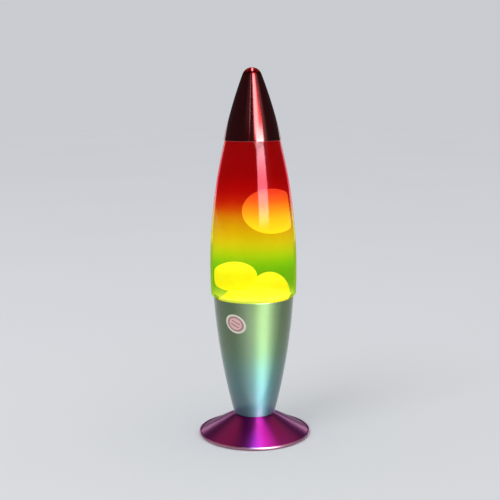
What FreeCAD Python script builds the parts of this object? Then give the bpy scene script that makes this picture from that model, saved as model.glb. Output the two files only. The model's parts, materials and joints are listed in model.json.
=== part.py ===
import FreeCAD, Part

import math
import os

# A lava lamp 406 mm tall, as the separate pieces that it comes apart into on a bench.
#
# Units are millimetres. +Z is up and the origin is the centre of the surface that the lamp stands
# on. -Y is the front, and the mains lead enters through the back of the foot. Nearly every piece is
# turned about the Z axis, so most profiles are drawn in the half-plane of radius r and height z.

# --- Driving dimensions ---------------------------------------------------------------------------
LAMP_HEIGHT = 406.0

# Foot: a spun cone of sheet aluminium, closed below by a plate on four rubber pads
FOOT_RIM_R = 62.4
FOOT_TOP_R = 22.1
FOOT_TOP_Z = 24.0
FOOT_WALL = 1.0
FOOT_BEAD_R = 1.2
FOOT_BEAD_Z = 2.3
PLATE_R = 56.8
PLATE_THICK = 1.5
PLATE_Z = 1.8
PLATE_VENTS = 8
PAD_R = 6.0
PAD_CIRCLE_R = 48.0
PAD_COUNT = 4

# Cup: a spun shell that bulges slightly between a narrow floor and a wide rim
CUP_RIM_R = 44.3
CUP_WAIST_R = 36.3
CUP_WAIST_Z = 88.0
CUP_FLOOR_R = 22.8
CUP_RIM_Z = 157.4
CUP_WALL = 1.0

# Bottle: one long arc from the shoulder over the cup up to the neck, on a tapered plug
BOTTLE_R = 47.4
BOTTLE_WIDEST_Z = 187.5
BOTTLE_BOW_R = 585.0
BOTTLE_WALL = 2.4
BOTTLE_FLOOR_Z = 132.5
PLUG_FLOOR_R = 34.7
PLUG_TOP_R = 41.2
PLUG_TOP_Z = 156.6
SHOULDER_R = 46.75
SHOULDER_Z = 160.0
BOTTLE_TOP_Z = 346.0
HEEL_ROUND = 5.0
SEAT_ROUND = 2.5
EDGE_ROUND = 2.0
TOP_ROUND = 12.0
BOTTLE_SEAM = -90.0
NECK_R = 12.2
NECK_BORE_R = 9.3
NECK_TOP_Z = 366.0
CROWN_BEAD_R = 13.1
CROWN_BEAD_Z = 361.5
FILL_Z = 338.0

# Top cap: a spun cone with a rounded tip
CAP_RIM_R = 31.2
CAP_RIM_Z = 328.5
CAP_WAIST_R = 20.9
CAP_WAIST_Z = 368.0
CAP_NECK_R = 10.4
CAP_NECK_Z = 398.5
CAP_WALL = 0.5

# Crown seal on the bottle's neck
CROWN_FLUTES = 21
CROWN_SHEET = 0.3
LINER_THICK = 0.6

# Clamp stack through the cup's floor and the foot's top
STUD_R = 5.0
STUD_BORE_R = 3.7
STUD_HOLE_R = 5.1
STUD_BOTTOM_Z = 15.0
STUD_TOP_Z = 31.0
WASHER_R = 9.5
WASHER_THICK = 1.0
NUT_FLATS = 14.0
NUT_THICK = 3.0
STRAP_THICK = 1.5
STRAP_WIDTH = 14.0
STRAP_LEG_X = 19.5
STRAP_TOE_X = 33.0
PLATE_SCREW_X = 26.5

# Lamp holder and its small Edison screw, 14 mm
HOLDER_R = 14.2
HOLDER_BORE_R = 12.3
HOLDER_TOP_Z = 72.0
INSULATOR_Z = 42.5
SHELL_Z = 47.0
SHELL_TOP_Z = 66.5
SHELL_R = 8.1
SHELL_BORE_R = 6.55
SHELL_GROOVE_R = 7.2
THREAD_PITCH = 2.822
RIDGE_Z = 54.5
RIDGE_TURNS = 4.5

# Reflector bulb, 39 mm across
BULB_TIP_Z = 49.5
BULB_CAP_Z = 53.5
BULB_CORE_R = 6.25
BULB_RIDGE_R = 6.85
BULB_NECK_R = 5.5
NECK_MOUTH_Z = 66.0
STEM_TOP_Z = 88.0
BULB_R = 19.5
BULB_FLARE = 24.0
BULB_FLARE_TILT = 35.0
BULB_EDGE = 4.5
BULB_DOME = 34.5
BULB_GLASS = 0.7
BULB_TOP_Z = 116.0

# Grommet that the mains lead enters by, square to the back of the foot's cone
LEAD_R = 46.0
LEAD_HOLE_R = 5.0
LEAD_BORE_R = 3.1
LEAD_FLANGE_R = 7.4
LEAD_FLANGE = 1.8

# Oval label on the cup, seen from the front
LABEL_HALF_LONG = 12.4
LABEL_HALF_SHORT = 10.0
LABEL_THICK = 0.25
LABEL_Z = 134.0
LABEL_TURN = -28.0
LABEL_TILT = -25.0

# Wax: a pool that swells into one dome, and two free blobs, each (x, y, z) and (half sizes)
POOL_Z = 155.0
SWELL_AT = (9.0, -1.0, 154.0)
SWELL_HALF = (36.0, 38.0, 12.0)
DOME_AT = (18.0, 13.0, 157.0)
DOME_HALF = (22.0, 21.0, 24.0)
LOW_BLOB_AT = (-21.5, -5.0, 180.0)
LOW_BLOB_HALF = (25.5, 18.0, 16.0)
HIGH_BLOB_AT = (20.0, -3.0, 251.4)
HIGH_BLOB_HALF = (32.0, 26.0, 24.5)
BLOB_CLEAR = 1.8
BLOB_FILM = 0.35

# Wire ring in the pool
COIL_RING_R = 22.0
COIL_TUBE_R = 3.0
COIL_CLEAR = 0.2

ORIGIN = FreeCAD.Vector(0, 0, 0)
ACROSS = FreeCAD.Vector(1, 0, 0)
BACK = FreeCAD.Vector(0, 1, 0)
UP = FreeCAD.Vector(0, 0, 1)


# --- Drawing helpers ------------------------------------------------------------------------------
def at(r, z):
    """A point of a turned profile."""
    return FreeCAD.Vector(r, 0, z)


def profile(*steps):
    """A closed wire. A step that is a point is reached by a line, and a (through, to) pair by an arc."""
    edges = []
    here = steps[0]
    for step in steps[1:] + steps[:1]:
        if isinstance(step, tuple):
            through, there = step
            edges.append(Part.Arc(here, through, there).toShape())
        else:
            there = step
            if not here.isEqual(there, 1e-7):
                edges.append(Part.LineSegment(here, there).toShape())
        here = there
    return Part.Wire(edges)


def turned(*steps):
    """The solid that a profile sweeps round the Z axis."""
    return Part.Face(profile(*steps)).revolve(ORIGIN, UP, 360)


def ring(r_in, r_out, z_low, z_high):
    """A plain tube or washer."""
    return turned(at(r_in, z_low), at(r_out, z_low), at(r_out, z_high), at(r_in, z_high))


def disc(r, z_low, z_high):
    """A plain upright cylinder."""
    return Part.makeCylinder(r, z_high - z_low, at(0, z_low))


def rounded(solid, *corners):
    """Rounds the circular edges that lie at each (r, z, radius)."""
    for r, z, radius in corners:
        edges = [e for e in solid.Edges if lies_at(e, r, z)]
        solid = solid.makeFillet(radius, edges)
    return solid


def lies_at(edge, r, z):
    """True if the edge is a circle of that radius at that height."""
    curve = edge.Curve
    if not isinstance(curve, Part.Circle):
        return False
    return abs(curve.Radius - r) < 0.01 and abs(curve.Center.z - z) < 0.01


def bent_strip(points, width, y=0.0):
    """A sheet-metal part: a closed outline in the XZ plane, as wide as width along Y."""
    outline = profile(*[FreeCAD.Vector(x, y - width / 2, z) for x, z in points])
    return Part.Face(outline).extrude(BACK * width)


def round_about(shape, count, start=0.0):
    """Copies of a shape turned evenly about the Z axis."""
    copies = []
    for n in range(count):
        copy = shape.copy()
        copy.rotate(ORIGIN, UP, start + n * 360.0 / count)
        copies.append(copy)
    return copies


def ellipsoid(centre, halves, grow=0.0):
    """An ellipsoid, with each half size grown by the same amount, and its seam towards the axis."""
    ball = Part.makeSphere(1.0)
    if centre[0] > 0:
        ball.rotate(ORIGIN, UP, 180)
    stretch = FreeCAD.Matrix()
    stretch.scale(*[half + grow for half in halves])
    solid = ball.transformGeometry(stretch)
    solid.translate(FreeCAD.Vector(*centre))
    return solid


class Bow:
    """A circular arc of a profile that bulges away from the axis."""

    def __init__(self, centre_r, centre_z, radius):
        self.centre_r = centre_r
        self.centre_z = centre_z
        self.radius = radius

    @classmethod
    def through(cls, low, middle, high):
        circle = Part.Arc(low, middle, high).toShape().Curve
        return cls(circle.Center.x, circle.Center.z, circle.Radius)

    def inset(self, by):
        return Bow(self.centre_r, self.centre_z, self.radius - by)

    def r(self, z):
        return self.centre_r + math.sqrt(self.radius**2 - (z - self.centre_z) ** 2)

    def point(self, z):
        return at(self.r(z), z)

    def to(self, z_from, z_to):
        """The profile step that follows the arc."""
        return self.point((z_from + z_to) / 2), self.point(z_to)


FOOT_SLOPE = math.atan2(FOOT_TOP_Z - FOOT_BEAD_Z, FOOT_RIM_R - FOOT_BEAD_R - FOOT_TOP_R)
CUP_BOW = Bow.through(
    at(CUP_FLOOR_R, FOOT_TOP_Z), at(CUP_WAIST_R, CUP_WAIST_Z), at(CUP_RIM_R, CUP_RIM_Z)
)
BOTTLE_BOW = Bow(BOTTLE_R - BOTTLE_BOW_R, BOTTLE_WIDEST_Z, BOTTLE_BOW_R)
CAP_BOW = Bow.through(
    at(CAP_RIM_R, CAP_RIM_Z), at(CAP_WAIST_R, CAP_WAIST_Z), at(CAP_NECK_R, CAP_NECK_Z)
)


# --- Foot -----------------------------------------------------------------------------------------
def foot_wall_frame(r):
    """The middle of the foot's wall at a radius towards the back, and the way out of it there."""
    outward = FreeCAD.Vector(0, math.sin(FOOT_SLOPE), math.cos(FOOT_SLOPE))
    outside = FreeCAD.Vector(0, r, FOOT_TOP_Z - (r - FOOT_TOP_R) * math.tan(FOOT_SLOPE))
    return outside - outward * (FOOT_WALL / 2), outward


def foot():
    rim_r = FOOT_RIM_R - FOOT_BEAD_R
    corner = FOOT_WALL * math.tan(FOOT_SLOPE / 2)
    drop = FOOT_WALL * FreeCAD.Vector(math.sin(FOOT_SLOPE), 0, math.cos(FOOT_SLOPE))
    shell = turned(
        at(STUD_HOLE_R, FOOT_TOP_Z),
        at(FOOT_TOP_R, FOOT_TOP_Z),
        at(rim_r, FOOT_BEAD_Z),
        at(rim_r, FOOT_BEAD_Z) - drop,
        at(FOOT_TOP_R - corner, FOOT_TOP_Z - FOOT_WALL),
        at(STUD_HOLE_R, FOOT_TOP_Z - FOOT_WALL),
    )
    bead = Part.makeTorus(rim_r, FOOT_BEAD_R, at(0, FOOT_BEAD_Z))
    middle, outward = foot_wall_frame(LEAD_R)
    lead_hole = Part.makeCylinder(LEAD_HOLE_R, 8 * FOOT_WALL, middle - outward * 4 * FOOT_WALL, outward)
    return shell.fuse(bead).cut(lead_hole).removeSplitter()


def lead_grommet():
    """A rubber bush whose two flanges grip the foot's wall."""
    half = FOOT_WALL / 2
    body = turned(
        at(LEAD_BORE_R, -half - LEAD_FLANGE),
        at(LEAD_FLANGE_R - 1.0, -half - LEAD_FLANGE),
        at(LEAD_FLANGE_R, -half - 0.6),
        at(LEAD_FLANGE_R, half + 0.6),
        at(LEAD_FLANGE_R - 1.0, half + LEAD_FLANGE),
        at(LEAD_BORE_R, half + LEAD_FLANGE),
    )
    middle, outward = foot_wall_frame(LEAD_R)
    body.Placement = FreeCAD.Placement(middle, FreeCAD.Rotation(UP, outward))
    return body.cut(foot())


def bottom_plate():
    vent_length = 13.0
    vent_half_width = 1.4
    vent_r = 34.0
    plate = disc(PLATE_R, PLATE_Z, PLATE_Z + PLATE_THICK)
    slot = Part.makeBox(vent_length, 2 * vent_half_width, 10, FreeCAD.Vector(vent_r, -vent_half_width, -1))
    for end_r in (vent_r, vent_r + vent_length):
        slot = slot.fuse(Part.makeCylinder(vent_half_width, 10, FreeCAD.Vector(end_r, 0, -1)))
    for vent in round_about(slot, PLATE_VENTS, 22.5):
        plate = plate.cut(vent)
    for x in (-PLATE_SCREW_X, PLATE_SCREW_X):
        plate = plate.cut(Part.makeCylinder(1.7, 10, FreeCAD.Vector(x, 0, -1)))
    return plate


def plate_screw(x):
    """A pan-head screw up through the plate into the strap's toe."""
    head_z = PLATE_Z - 1.2
    head = rounded(disc(3.0, head_z, PLATE_Z), (3.0, head_z, 0.7))
    slot = Part.makeBox(8, 0.8, 0.8, FreeCAD.Vector(-4, -0.4, head_z - 0.2))
    screw = head.cut(slot).fuse(disc(1.45, PLATE_Z, PLATE_Z + 7.0))
    screw.translate(FreeCAD.Vector(x, 0, 0))
    return screw


def rubber_foot(n):
    pad = rounded(disc(PAD_R, 0, PLATE_Z), (PAD_R, 0, 0.5))
    pad.translate(FreeCAD.Vector(PAD_CIRCLE_R, 0, 0))
    pad.rotate(ORIGIN, UP, 45.0 + n * 360.0 / PAD_COUNT)
    return pad


# --- Clamp stack ----------------------------------------------------------------------------------
def strap_top_z():
    return FOOT_TOP_Z - FOOT_WALL


def base_strap():
    """A hat-shaped steel strap: its web is clamped under the foot's top, and its toes hold the plate."""
    top = strap_top_z()
    toe = PLATE_Z + PLATE_THICK
    leg = STRAP_LEG_X
    thick = STRAP_THICK
    right = [(leg, top), (leg, toe + thick), (STRAP_TOE_X, toe + thick), (STRAP_TOE_X, toe)]
    right += [(leg - thick, toe), (leg - thick, top - thick)]
    left = [(-x, z) for x, z in reversed(right)]
    strap = bent_strip(right + left, STRAP_WIDTH)
    strap = strap.cut(disc(STUD_HOLE_R, top - 5, top + 1))
    for x in (-PLATE_SCREW_X, PLATE_SCREW_X):
        strap = strap.cut(Part.makeCylinder(1.5, 10, FreeCAD.Vector(x, 0, 0)))
    return strap


def hollow_stud():
    """The threaded tube that clamps the stack and carries the lead up to the holder."""
    chamfer = 0.5
    return turned(
        at(STUD_BORE_R, STUD_BOTTOM_Z),
        at(STUD_R - chamfer, STUD_BOTTOM_Z),
        at(STUD_R, STUD_BOTTOM_Z + chamfer),
        at(STUD_R, STUD_TOP_Z - chamfer),
        at(STUD_R - chamfer, STUD_TOP_Z),
        at(STUD_BORE_R, STUD_TOP_Z),
    )


def lower_washer():
    top = strap_top_z() - STRAP_THICK
    return ring(STUD_HOLE_R, WASHER_R, top - WASHER_THICK, top)


def lower_nut():
    top = strap_top_z() - STRAP_THICK - WASHER_THICK
    return hex_nut(top - NUT_THICK)


def hex_nut(z):
    """A hexagon nut, its corners chamfered above and below."""
    corner_r = NUT_FLATS / math.sqrt(3)
    corners = []
    for k in range(6):
        turn = math.radians(60 * k)
        corners.append(FreeCAD.Vector(corner_r * math.cos(turn), corner_r * math.sin(turn), z))
    prism = Part.Face(profile(*corners)).extrude(UP * NUT_THICK)
    barrel = turned(
        at(0, z),
        at(NUT_FLATS / 2, z),
        at(corner_r + 0.3, z + 0.8),
        at(corner_r + 0.3, z + NUT_THICK - 0.8),
        at(NUT_FLATS / 2, z + NUT_THICK),
        at(0, z + NUT_THICK),
    )
    return prism.common(barrel).cut(disc(STUD_HOLE_R, z - 1, z + NUT_THICK + 1))


def upper_washer():
    floor = FOOT_TOP_Z + CUP_WALL
    return ring(STUD_HOLE_R, WASHER_R, floor, floor + WASHER_THICK)


# --- Cup ------------------------------------------------------------------------------------------
def cup_form(inset, top_z, corner_r):
    """The solid bounded by the cup's outside, moved in by inset."""
    bow = CUP_BOW.inset(inset)
    floor = FOOT_TOP_Z + inset
    form = turned(at(0, floor), bow.point(floor), bow.to(floor, top_z), at(0, top_z))
    return rounded(form, (bow.r(floor), floor, corner_r))


def cup():
    outside = rounded(cup_form(0, CUP_RIM_Z, 2.6), (CUP_RIM_R, CUP_RIM_Z, 0.45))
    inside = cup_form(CUP_WALL, CUP_RIM_Z + 0.1, 1.6)
    return outside.cut(inside).cut(disc(STUD_HOLE_R, 20, 30))


def seat_ring():
    """The heatproof rubber lining that the bottle's shoulder sits on."""
    low = 149.0
    high = 155.2
    thick = 1.85
    bow = CUP_BOW.inset(CUP_WALL)
    lining = CUP_BOW.inset(CUP_WALL + thick)
    return turned(bow.point(low), bow.to(low, high), lining.point(high), lining.to(high, low))


def round_label():
    """A thin oval sticker that follows the cup's bulge."""
    skin = turned(
        CUP_BOW.point(LABEL_Z - 20),
        CUP_BOW.inset(-LABEL_THICK).point(LABEL_Z - 20),
        CUP_BOW.inset(-LABEL_THICK).to(LABEL_Z - 20, LABEL_Z + 15),
        CUP_BOW.point(LABEL_Z + 15),
        CUP_BOW.to(LABEL_Z + 15, LABEL_Z - 20),
    )
    oval = Part.Ellipse(ORIGIN, LABEL_HALF_LONG, LABEL_HALF_SHORT).toShape()
    cutter = Part.Face(Part.Wire([oval])).extrude(UP * 60)
    cutter.rotate(ORIGIN, UP, LABEL_TILT)
    cutter.rotate(ORIGIN, ACROSS, 90)
    cutter.translate(at(0, LABEL_Z))
    cutter.rotate(ORIGIN, UP, LABEL_TURN)
    return skin.common(cutter)


# --- Lamp holder ----------------------------------------------------------------------------------
def holder_base():
    """The holder's lower cup, screwed down on the stud."""
    boss_z = FOOT_TOP_Z + CUP_WALL + WASHER_THICK
    spigot_z = INSULATOR_Z - 4
    body = turned(
        at(STUD_HOLE_R, boss_z),
        at(8.0, boss_z),
        at(8.0, boss_z + 2),
        at(HOLDER_R - 0.7, boss_z + 2),
        at(HOLDER_R - 0.7, spigot_z),
        at(HOLDER_BORE_R - 0.1, spigot_z),
        at(HOLDER_BORE_R - 0.1, INSULATOR_Z),
        at(11.0, INSULATOR_Z),
        at(11.0, STUD_TOP_Z),
        at(STUD_HOLE_R, STUD_TOP_Z),
    )
    return rounded(body, (HOLDER_R - 0.7, boss_z + 2, 1.5))


def holder_sleeve():
    """The holder's outer skirt."""
    low = INSULATOR_Z - 3.9
    lip_z = HOLDER_TOP_Z - 3
    sleeve = turned(
        at(HOLDER_BORE_R, low),
        at(HOLDER_R, low),
        at(HOLDER_R, HOLDER_TOP_Z),
        at(HOLDER_BORE_R - 1.5, HOLDER_TOP_Z),
        at(HOLDER_BORE_R - 1.5, lip_z),
        at(HOLDER_BORE_R, lip_z),
    )
    return rounded(sleeve, (HOLDER_R, HOLDER_TOP_Z, 0.9))


def holder_insulator():
    """The ceramic disc between the terminals and the screw shell."""
    body = disc(HOLDER_BORE_R - 0.1, INSULATOR_Z, SHELL_Z)
    return body.cut(side_contact()).cut(centre_contact())


def thread(root_r, crest_r, half_width, z_start, turns):
    """A round-crested helical ridge, the same whether it is added to a core or cut from a bore."""
    foot_r = root_r - 0.25
    section = profile(
        at(foot_r, z_start - half_width),
        at(root_r, z_start - half_width),
        (at(crest_r, z_start), at(root_r, z_start + half_width)),
        at(foot_r, z_start + half_width),
    )
    path = Part.makeHelix(THREAD_PITCH, turns * THREAD_PITCH, root_r)
    path.translate(at(0, z_start))
    return Part.Wire(path.Edges).makePipeShell([section], True, True)


def screw_shell():
    """The holder's brass shell, with the female thread through its open top."""
    floor = 0.8
    lead_in = 1
    blank = ring(SHELL_BORE_R, SHELL_R, SHELL_Z, SHELL_TOP_Z)
    base = ring(5.0, SHELL_R, SHELL_Z, SHELL_Z + floor)
    turns = RIDGE_TURNS + lead_in + 1
    groove = thread(SHELL_BORE_R, SHELL_GROOVE_R, 1.25, RIDGE_Z - lead_in * THREAD_PITCH, turns)
    return blank.fuse(base).removeSplitter().cut(groove)


def centre_contact():
    """A springy tongue under the bulb's tip, with its tail down to the live terminal."""
    top = BULB_TIP_Z - 0.3
    sheet = 0.4
    points = [(-8.0, 35.0), (-7.5, 35.0), (-7.5, 45.0), (-4.2, 45.0), (-4.2, SHELL_Z), (-2.5, SHELL_Z)]
    points += [(1.0, top - sheet), (3.2, top - sheet), (3.2, top), (0.8, top)]
    points += [(-2.8, SHELL_Z + sheet), (-4.6, SHELL_Z + sheet), (-4.6, 45.5), (-8.0, 45.5)]
    return bent_strip(points, 3.6)


def side_contact():
    """A brass strip from the screw shell down to the neutral terminal."""
    side = math.sqrt(SHELL_R**2 - 1.8**2) + 0.02
    points = [(7.5, 35.0), (8.0, 35.0), (8.0, 45.0), (side + 0.5, 45.0), (side + 0.5, 58.0)]
    points += [(side, 58.0), (side, 45.5), (7.5, 45.5)]
    return bent_strip(points, 3.6).cut(disc(SHELL_R, SHELL_Z, SHELL_TOP_Z))


def terminal_screw(side):
    """A small screw across the tail of a contact. side is -1 or 1."""
    head = Part.makeCylinder(1.9, 1.3, at(6.2, 38.5), ACROSS)
    slot = Part.makeBox(0.6, 5, 0.5, FreeCAD.Vector(6.1, -2.5, 38.25))
    shank = Part.makeCylinder(1.1, 3.2, at(7.5, 38.5), ACROSS)
    return sided(head.cut(slot).fuse(shank), side)


def terminal_clamp(side):
    """The square nut that the terminal's screw draws up against the contact."""
    clamp = Part.makeBox(1.6, 4.6, 4.6, FreeCAD.Vector(8.0, -2.3, 36.2))
    return sided(clamp.cut(Part.makeCylinder(1.15, 6, at(6.5, 38.5), ACROSS)), side)


def sided(shape, side):
    """The shape where it is drawn for side 1, or turned half round for side -1."""
    if side < 0:
        shape.rotate(ORIGIN, UP, 180)
    return shape


def drilled(contact, side):
    """A contact with the hole that its terminal screw passes through."""
    hole = sided(Part.makeCylinder(1.15, 6, at(6.5, 38.5), ACROSS), side)
    return contact.cut(hole)


# --- Bulb -----------------------------------------------------------------------------------------
def bulb_tip():
    """The solder button."""
    flat_r = 2.4
    low = BULB_TIP_Z
    dome = (at(1.7, low + 0.35), at(flat_r, low + 1.0))
    return turned(at(0, low), dome, at(flat_r, low + 1.6), at(0, low + 1.6))


def bulb_insulator():
    low = BULB_TIP_Z + 1.6
    return turned(at(0, low), at(3.4, low), at(BULB_CORE_R - 0.6, BULB_CAP_Z), at(0, BULB_CAP_Z))


def bulb_screw_cap():
    """The bulb's thin metal cap, with the male thread."""
    wall = 0.5
    collar_z = 70.5
    shell = turned(
        at(BULB_CORE_R - wall, BULB_CAP_Z),
        at(BULB_CORE_R, BULB_CAP_Z),
        at(BULB_CORE_R, collar_z),
        at(7.6, collar_z + 3),
        at(7.1, collar_z + 3),
        at(BULB_CORE_R - wall, collar_z + 0.3),
    )
    return shell.fuse(thread(BULB_CORE_R, BULB_RIDGE_R, 0.95, RIDGE_Z, RIDGE_TURNS))


def bulb_form(inset, mouth_z=NECK_MOUTH_Z):
    """The envelope's outline as a solid: a straight neck, a flare, a rounded edge and a domed face."""
    tilt = math.radians(BULB_FLARE_TILT)
    edge_at = at(BULB_R - BULB_EDGE, 0)
    lean = math.asin(edge_at.x / (BULB_DOME - BULB_EDGE))
    edge_at.z = BULB_TOP_Z - BULB_DOME + (BULB_DOME - BULB_EDGE) * math.cos(lean)
    dome_at = at(0, BULB_TOP_Z - BULB_DOME)
    cone_top = edge_at + BULB_EDGE * at(math.cos(tilt), -math.sin(tilt))
    flare_at = at(BULB_NECK_R + BULB_FLARE, 0)
    cone_low = flare_at + BULB_FLARE * at(-math.cos(tilt), math.sin(tilt))
    flare_at.z = cone_top.z - (cone_top.x - cone_low.x) / math.tan(tilt) - cone_low.z

    def on(centre, radius, angle):
        return centre + radius * at(math.cos(angle), math.sin(angle))

    flare = BULB_FLARE + inset
    edge = BULB_EDGE - inset
    dome = BULB_DOME - inset
    rim = math.pi / 2 - lean
    return turned(
        at(0, mouth_z),
        at(BULB_NECK_R - inset, mouth_z),
        on(flare_at, flare, math.pi),
        (on(flare_at, flare, math.pi - tilt / 2), on(flare_at, flare, math.pi - tilt)),
        on(edge_at, edge, -tilt),
        (on(edge_at, edge, (rim - tilt) / 2), on(edge_at, edge, rim)),
        (on(dome_at, dome, math.pi / 2 - lean / 2), at(0, BULB_TOP_Z - inset)),
    )


def bulb_envelope():
    """The glass, open at its neck's mouth, where the stem closes it."""
    return bulb_form(0).cut(bulb_form(BULB_GLASS, NECK_MOUTH_Z - 1))


def bulb_reflector():
    """The silvered film on the inside of the flare."""
    return bulb_form(BULB_GLASS).cut(bulb_form(BULB_GLASS + 0.25)).common(disc(40, 84, 107))


def bulb_stem():
    """The glass press that closes the neck and holds the filament's wires."""
    low = NECK_MOUTH_Z
    flare_r = BULB_NECK_R - BULB_GLASS
    return turned(
        at(0, low),
        at(flare_r, low),
        at(flare_r, low + 0.8),
        (at(3.0, low + 3.0), at(2.2, low + 8.0)),
        at(1.5, STEM_TOP_Z),
        at(0, STEM_TOP_Z),
    )


def bulb_lead_wire(side):
    """One stiff wire from the press up to the filament's end."""
    low = FreeCAD.Vector(side * 0.7, 0, STEM_TOP_Z - 2)
    high = FreeCAD.Vector(side * 5.0, 0, 97.0)
    return Part.makeCylinder(0.3, low.distanceToPoint(high), low, high - low).cut(bulb_stem())


def bulb_filament():
    """The tungsten coil as one slack arc of its outer size."""
    middle = FreeCAD.Vector(0, 0, 98.4)
    ends = [FreeCAD.Vector(side * 4.9, 0, 97.3) for side in (-1, 1)]
    arc = Part.Arc(ends[0], middle, ends[1]).toShape()
    start = Part.Circle(ends[0], arc.tangentAt(arc.FirstParameter), 0.25).toShape()
    return Part.Wire([arc]).makePipeShell([Part.Wire([start])], True, True)


# --- Bottle ---------------------------------------------------------------------------------------
def moved_in(low, high, inset):
    """A sloping wall of a profile, moved towards the axis: a point on it and its direction."""
    along = (high - low).normalize()
    return low + inset * FreeCAD.Vector(-along.z, 0, along.x), along


def crossing(wall, other):
    """Where two sloping walls meet."""
    point, along = wall
    other_point, other_along = other
    normal = FreeCAD.Vector(-other_along.z, 0, other_along.x)
    return point + along * ((other_point - point).dot(normal) / along.dot(normal))


def bow_crossing(wall, bow):
    """Where a sloping wall meets a bow, at the end further up the wall."""
    point, along = wall
    centre = at(bow.centre_r, bow.centre_z)
    nearest = (centre - point).dot(along)
    half_chord = math.sqrt(bow.radius**2 - (point + along * nearest - centre).Length ** 2)
    return point + along * (nearest + half_chord)


def bottle_form(inset):
    """The bottle's body below its neck, moved in by inset, as a solid."""
    floor = BOTTLE_FLOOR_Z + inset
    top = BOTTLE_TOP_Z - inset
    bow = BOTTLE_BOW.inset(inset)
    plug = moved_in(at(PLUG_FLOOR_R, BOTTLE_FLOOR_Z), at(PLUG_TOP_R, PLUG_TOP_Z), inset)
    rest = moved_in(at(PLUG_TOP_R, PLUG_TOP_Z), at(SHOULDER_R, SHOULDER_Z), inset)
    heel = crossing(plug, (at(0, floor), ACROSS))
    seat = crossing(plug, rest)
    edge = bow_crossing(rest, bow)
    body = turned(at(0, floor), heel, seat, edge, bow.to(edge.z, top), at(0, top))
    body.rotate(ORIGIN, UP, BOTTLE_SEAM)
    return rounded(
        body,
        (heel.x, floor, HEEL_ROUND - inset),
        (seat.x, seat.z, SEAT_ROUND + inset),
        (edge.x, edge.z, max(EDGE_ROUND - inset, 0.6)),
        (bow.r(top), top, TOP_ROUND - inset),
    )


def bottle_outside():
    neck = disc(NECK_R, BOTTLE_TOP_Z - 5, NECK_TOP_Z)
    joined = rounded(bottle_form(0).fuse(neck), (NECK_R, BOTTLE_TOP_Z, 3.5))
    bead = rounded(
        ring(NECK_R - 1, CROWN_BEAD_R, CROWN_BEAD_Z, NECK_TOP_Z),
        (CROWN_BEAD_R, CROWN_BEAD_Z, 0.6),
        (CROWN_BEAD_R, NECK_TOP_Z, 1.2),
    )
    return joined.fuse(bead)


def bottle_inside():
    return bottle_form(BOTTLE_WALL)


def bottle():
    bore = disc(NECK_BORE_R, BOTTLE_TOP_Z - 10, NECK_TOP_Z + 1)
    return bottle_outside().cut(bottle_inside()).cut(bore)


def coil_room():
    """The space that the wire ring takes up in the pool."""
    reach = COIL_TUBE_R + COIL_CLEAR
    floor = BOTTLE_FLOOR_Z + BOTTLE_WALL
    return ring(COIL_RING_R - reach, COIL_RING_R + reach, floor - 1, floor + 2 * COIL_TUBE_R + COIL_CLEAR)


def wax_pool():
    """The melted wax on the bottle's floor, with the dome that is about to break away."""
    inside = bottle_inside()
    wax = inside.common(disc(60, 100, POOL_Z))
    for centre, halves in ((SWELL_AT, SWELL_HALF), (DOME_AT, DOME_HALF)):
        wax = wax.fuse(ellipsoid(centre, halves).common(inside).cut(disc(60, 100, POOL_Z - 1)))
    return wax.cut(coil_room())


def free_blob(centre, halves):
    """A blob that may press towards the glass, but slides clear of it."""
    return ellipsoid(centre, halves).common(bottle_form(BOTTLE_WALL + BLOB_CLEAR))


def wax_blob_low():
    return free_blob(LOW_BLOB_AT, LOW_BLOB_HALF)


def wax_blob_high():
    return free_blob(HIGH_BLOB_AT, HIGH_BLOB_HALF)


def fluid():
    """The clear liquid around the wax, up to the fill line."""
    body = bottle_inside().common(disc(60, 100, FILL_Z))
    for centre, halves in ((LOW_BLOB_AT, LOW_BLOB_HALF), (HIGH_BLOB_AT, HIGH_BLOB_HALF)):
        body = body.cut(ellipsoid(centre, halves, BLOB_FILM))
    return body.cut(wax_pool()).cut(coil_room())


def heat_coil():
    """The wire ring on the bottle's floor, as one solid of its outer shape."""
    floor = BOTTLE_FLOOR_Z + BOTTLE_WALL
    return Part.makeTorus(COIL_RING_R, COIL_TUBE_R, at(0, floor + COIL_TUBE_R))


# --- Crown seal and top cap -----------------------------------------------------------------------
def fluted_loop(r, depth, z):
    """A closed curve with one wave for each flute of the crown."""
    per_flute = 8
    points = []
    for k in range(CROWN_FLUTES * per_flute):
        angle = 2 * math.pi * k / (CROWN_FLUTES * per_flute)
        wave = r + depth * math.cos(CROWN_FLUTES * angle)
        points.append(FreeCAD.Vector(wave * math.cos(angle), wave * math.sin(angle), z))
    curve = Part.BSplineCurve()
    curve.interpolate(points, PeriodicFlag=True)
    return Part.Wire([curve.toShape()])


def crown_form(inset):
    """The crown's outline, moved in by inset: a flat top, a straight band and a fluted skirt."""
    top = NECK_TOP_Z + LINER_THICK + CROWN_SHEET - inset
    band_z = top - 2.2
    skirt_z = CROWN_BEAD_Z - 0.8
    band = disc(CROWN_BEAD_R + 0.55 - inset, band_z, top)
    band = rounded(band, (CROWN_BEAD_R + 0.55 - inset, top, 1.0 - inset))
    loops = [
        fluted_loop(CROWN_BEAD_R + 1.15 - inset, 0.45, skirt_z),
        fluted_loop(CROWN_BEAD_R + 0.55 - inset, 0.0, band_z),
    ]
    return band.fuse(Part.makeLoft(loops, True, True))


def crown_cap():
    return crown_form(0).cut(crown_form(CROWN_SHEET)).cut(disc(CROWN_BEAD_R + 0.25, 340, CROWN_BEAD_Z))


def crown_liner():
    return disc(CROWN_BEAD_R - 0.8, NECK_TOP_Z, NECK_TOP_Z + LINER_THICK)


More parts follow.
